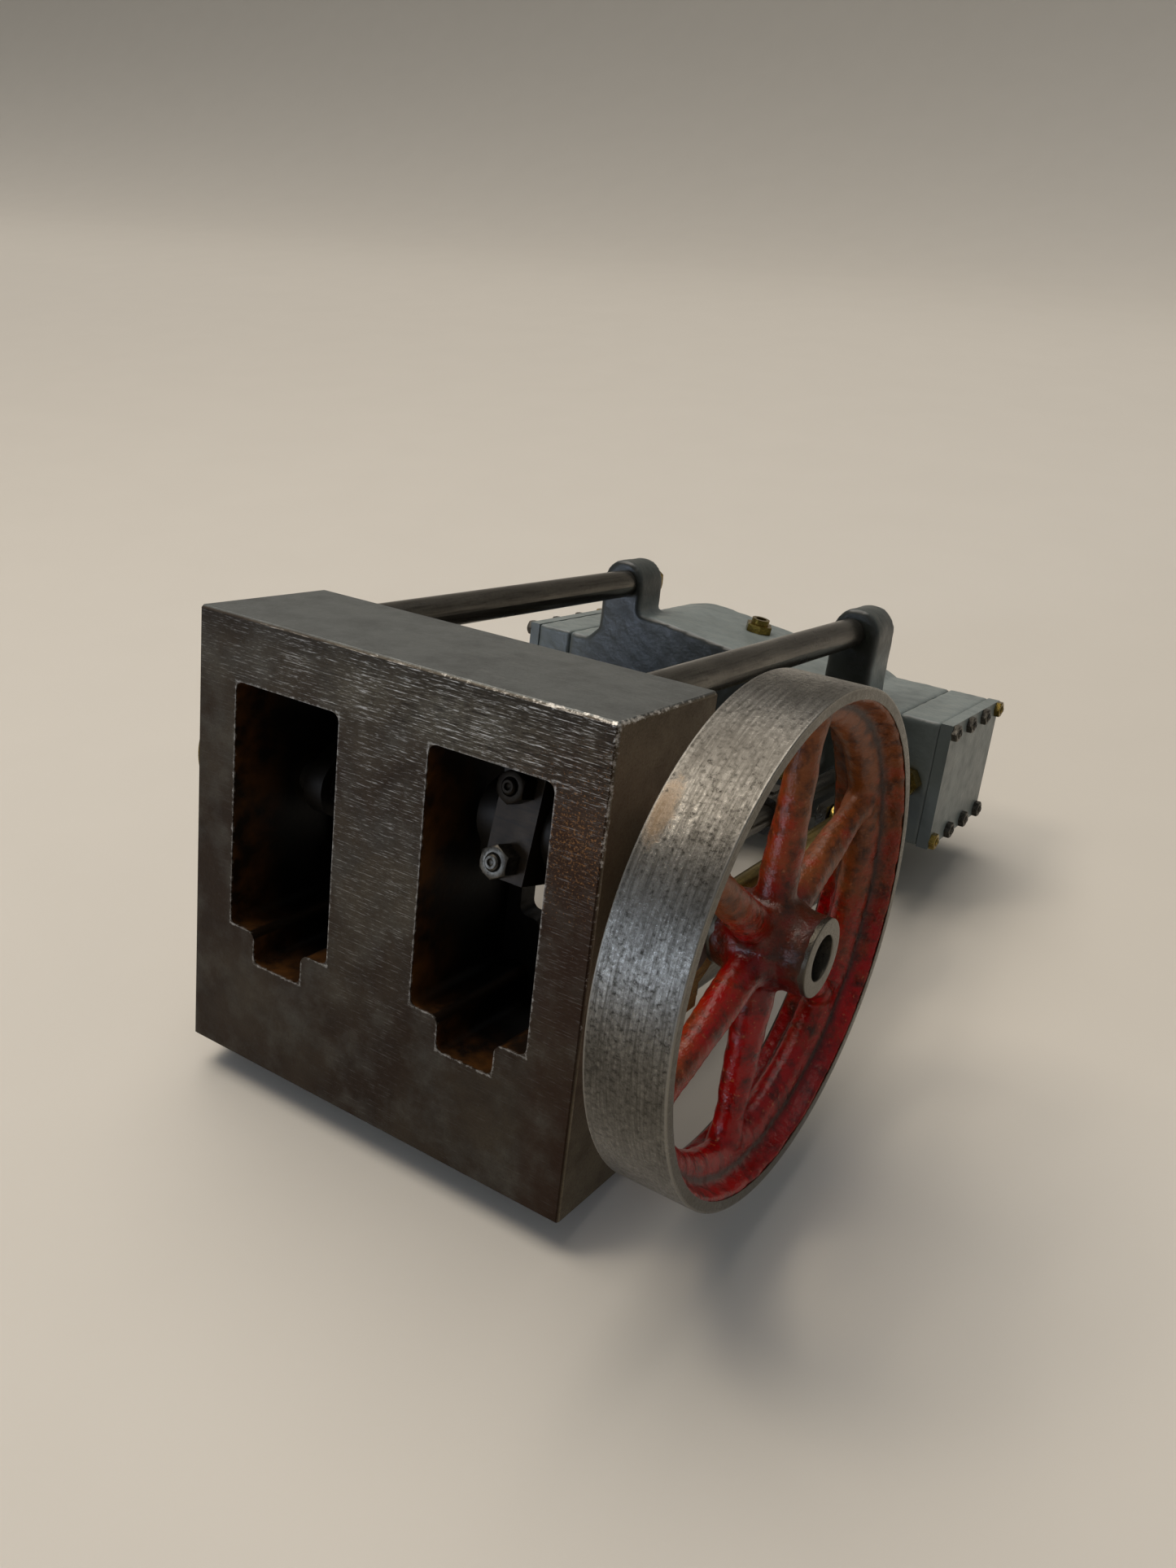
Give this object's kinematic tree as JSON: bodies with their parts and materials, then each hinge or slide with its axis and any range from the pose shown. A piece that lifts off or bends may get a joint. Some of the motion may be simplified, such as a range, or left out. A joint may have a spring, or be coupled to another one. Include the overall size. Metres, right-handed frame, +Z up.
{
  "type": "twin-cylinder compound model steam engine",
  "caption": "Vertical model steam engine lying on its back: deep iron bedplate with crank wells, turned columns, painted cylinder block with end valve chests, spoked flywheel.",
  "frame": {"origin": "bottom centre of the bounding box, on the table that the engine lies on", "axes": "+X along the crankshaft towards the flywheel, +Y towards the cylinders, +Z up from the table"},
  "size_m": [0.1502, 0.214, 0.108],
  "materials": {
    "machined_iron": "dark machined iron with mill marks and light rust",
    "red_iron": "worn red enamel on cast iron, bright turned rim",
    "blue_grey_paint": "satin blue-grey paint on cast iron",
    "dark_steel": "turned steel, dulled by oil",
    "brass": "turned brass, tarnished"
  },
  "bodies": {
    "frame": {"bedplate": "machined_iron", "main_bushes": "brass", "front_column_left": "dark_steel", "front_column_right": "dark_steel", "rear_columns": "dark_steel", "column_nuts": "brass", "guide_rods": "dark_steel", "cylinder_block": "blue_grey_paint", "steam_union": "brass", "cylinder_cover_left": "blue_grey_paint", "cylinder_cover_right": "blue_grey_paint", "cover_nuts": "dark_steel", "piston_gland_left": "brass", "piston_gland_right": "brass", "valve_chest_left": "blue_grey_paint", "valve_chest_right": "blue_grey_paint", "chest_cover_left": "blue_grey_paint", "chest_cover_right": "blue_grey_paint", "chest_nuts": "brass", "valve_gland_left": "brass", "valve_gland_right": "brass"},
    "crank": {"crankshaft_left": "dark_steel", "crankshaft_centre": "dark_steel", "crankshaft_right": "dark_steel", "crank_pin_left": "dark_steel", "crank_pin_right": "dark_steel", "crank_webs_left": "dark_steel", "crank_webs_right": "dark_steel", "flywheel": "red_iron", "eccentric_sheave_left": "dark_steel", "eccentric_sheave_right": "dark_steel", "grub_screws": "dark_steel"},
    "rod_left": {"connecting_rod_left": "dark_steel", "big_end_brasses_left": "brass", "big_end_cap_left": "dark_steel", "big_end_bolts_left": "dark_steel"},
    "piston_left": {"crosshead_left": "dark_steel", "pivot_screws_left": "dark_steel", "piston_rod_left": "dark_steel", "piston_left": "dark_steel"},
    "eccentric_left": {"eccentric_rod_left": "brass", "eccentric_strap_left": "brass", "strap_bolts_left": "dark_steel"},
    "valve_left": {"valve_rod_left": "dark_steel", "valve_pivots_left": "dark_steel", "slide_valve_left": "brass"},
    "rod_right": {"connecting_rod_right": "dark_steel", "big_end_brasses_right": "brass", "big_end_cap_right": "dark_steel", "big_end_bolts_right": "dark_steel"},
    "piston_right": {"crosshead_right": "dark_steel", "pivot_screws_right": "dark_steel", "piston_rod_right": "dark_steel", "piston_right": "dark_steel"},
    "eccentric_right": {"eccentric_rod_right": "brass", "eccentric_strap_right": "brass", "strap_bolts_right": "dark_steel"},
    "valve_right": {"valve_rod_right": "dark_steel", "valve_pivots_right": "dark_steel", "slide_valve_right": "brass"}
  },
  "joints": [
    {"name": "crank_spin", "type": "hinge", "parent": "frame", "child": "crank", "pos_m": [-0.00765, -0.0595, 0.06056], "axis": [1, 0, 0], "continuous": true},
    {"name": "big_end_left_turn", "type": "hinge", "parent": "crank", "child": "rod_left", "pos_m": [-0.03265, -0.04939, 0.06339], "axis": [1, 0, 0], "continuous": true},
    {"name": "eccentric_left_turn", "type": "hinge", "parent": "crank", "child": "eccentric_left", "pos_m": [-0.06465, -0.06031, 0.06345], "axis": [1, 0, 0], "continuous": true},
    {"name": "piston_left_slide", "type": "slide", "parent": "frame", "child": "piston_left", "axis": [0, 0.9768, -0.2142], "range_m": [-0.01949, 0.00151]},
    {"name": "valve_left_slide", "type": "slide", "parent": "frame", "child": "valve_left", "axis": [0, 0.9768, -0.2142], "range_m": [-0.00154, 0.00445]},
    {"name": "big_end_right_turn", "type": "hinge", "parent": "crank", "child": "rod_right", "pos_m": [0.01735, -0.06233, 0.07067], "axis": [1, 0, 0], "continuous": true},
    {"name": "eccentric_right_turn", "type": "hinge", "parent": "crank", "child": "eccentric_right", "pos_m": [0.04935, -0.06239, 0.05975], "axis": [1, 0, 0], "continuous": true},
    {"name": "piston_right_slide", "type": "slide", "parent": "frame", "child": "piston_right", "axis": [0, 0.9768, -0.2142], "range_m": [-0.00456, 0.01644]},
    {"name": "valve_right_slide", "type": "slide", "parent": "frame", "child": "valve_right", "axis": [0, 0.9768, -0.2142], "range_m": [-0.00034, 0.00566]}
  ],
  "couplings": [
    {"joint": "big_end_left_turn", "follows": "crank_spin", "ratio": -1},
    {"joint": "eccentric_left_turn", "follows": "crank_spin", "ratio": -1},
    {"joint": "big_end_right_turn", "follows": "crank_spin", "ratio": -1},
    {"joint": "eccentric_right_turn", "follows": "crank_spin", "ratio": -1}
  ]
}
